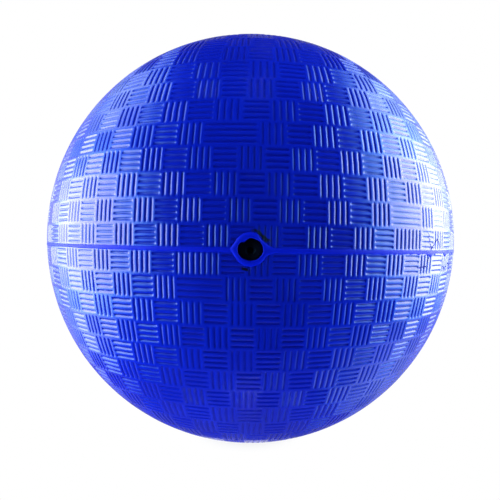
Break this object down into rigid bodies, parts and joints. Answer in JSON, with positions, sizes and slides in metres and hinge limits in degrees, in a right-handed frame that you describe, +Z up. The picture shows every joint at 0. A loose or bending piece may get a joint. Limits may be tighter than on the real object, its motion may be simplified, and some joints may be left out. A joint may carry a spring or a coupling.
{
  "type": "play ball",
  "caption": "Inflated rubber play ball with a moulded basketweave cover, a parting line round its middle and a needle valve whose plug pulls out of its seat.",
  "frame": {"origin": "centre of the ball", "axes": "-Y out through the valve, +Z up through the mould's pole, square to the parting plane"},
  "size_m": [0.1784, 0.1785, 0.178],
  "materials": {
    "cover": "moulded basketweave, satin",
    "seam": "smooth flash, satin gloss",
    "bladder": "matt butyl",
    "plug": "matt black"
  },
  "bodies": {
    "ball": {"cover_upper": "cover", "cover_lower": "cover", "seam_bead": "seam", "bladder": "bladder", "valve_patch": "bladder", "valve_seat": "bladder"},
    "plug": {"valve_plug": "plug"}
  },
  "joints": [
    {"name": "valve_plug_pull", "type": "slide", "parent": "ball", "child": "plug", "axis": [0, -1, 0], "range_m": [0, 0.024]}
  ]
}
